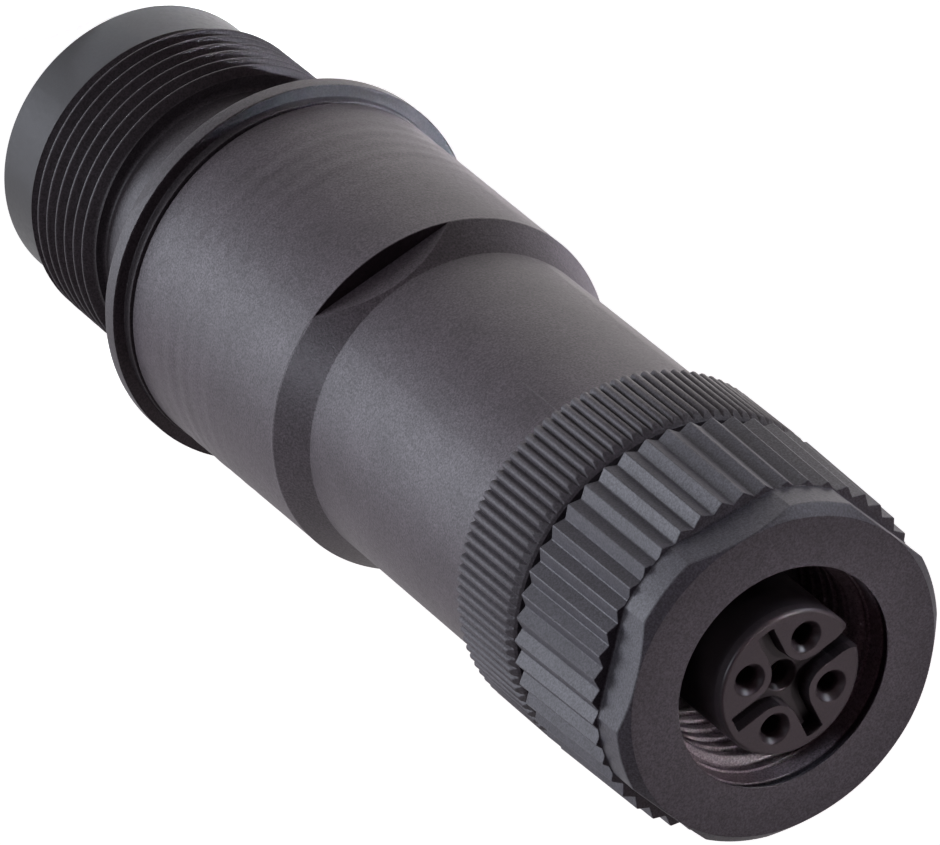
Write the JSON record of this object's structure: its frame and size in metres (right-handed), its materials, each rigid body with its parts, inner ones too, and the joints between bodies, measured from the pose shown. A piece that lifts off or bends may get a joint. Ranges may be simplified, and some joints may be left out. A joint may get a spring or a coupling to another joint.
{
  "type": "circular cable connector",
  "caption": "Straight cable socket connector with a hexagon-front coupling nut, keyed contact insert, wrench flats and a threaded cable end.",
  "frame": {"origin": "centre of the cable-end face, on the axis", "axes": "+Z along the connector's axis from the cable end to the socket face; the wrench flats face +Y and -Y; the keyway faces -X, turned 2 degrees"},
  "size_m": [0.0218, 0.0218, 0.067],
  "materials": {
    "housing_plastic": "fine-grained moulded plastic, near black",
    "nut_plastic": "fine-grained moulded plastic, near black",
    "collar_plastic": "moulded plastic, near black",
    "bushing_plastic": "smooth moulded plastic, near black",
    "sleeve_plastic": "satin moulded plastic, near black",
    "insert_plastic": "smooth moulded plastic, near black",
    "block_plastic": "moulded plastic, near black",
    "contact_metal": "gold-plated, bright",
    "spring_steel": "bright spring steel",
    "screw_steel": "zinc-plated",
    "seal_rubber": "matt rubber"
  },
  "bodies": {
    "connector": {"thrust_sleeve": "sleeve_plastic", "seal_washer": "sleeve_plastic", "cable_seal": "seal_rubber", "threaded_bushing": "bushing_plastic", "bushing_seal": "seal_rubber", "body_shell": "housing_plastic", "knurled_collar": "collar_plastic", "collar_seal": "seal_rubber", "contact_carrier": "insert_plastic", "nut_snap_ring": "spring_steel", "interface_seal": "seal_rubber", "terminal_block": "block_plastic", "terminal_screws": "screw_steel", "contact_springs": "spring_steel", "contact_1": "contact_metal", "contact_2": "contact_metal", "contact_3": "contact_metal", "contact_4": "contact_metal", "contact_5": "contact_metal"},
    "nut": {"coupling_nut": "nut_plastic"}
  },
  "joints": [
    {"name": "nut_spin", "type": "hinge", "parent": "connector", "child": "nut", "pos_m": [0, 0, 0.0617], "axis": [0, 0, 1], "continuous": true}
  ]
}
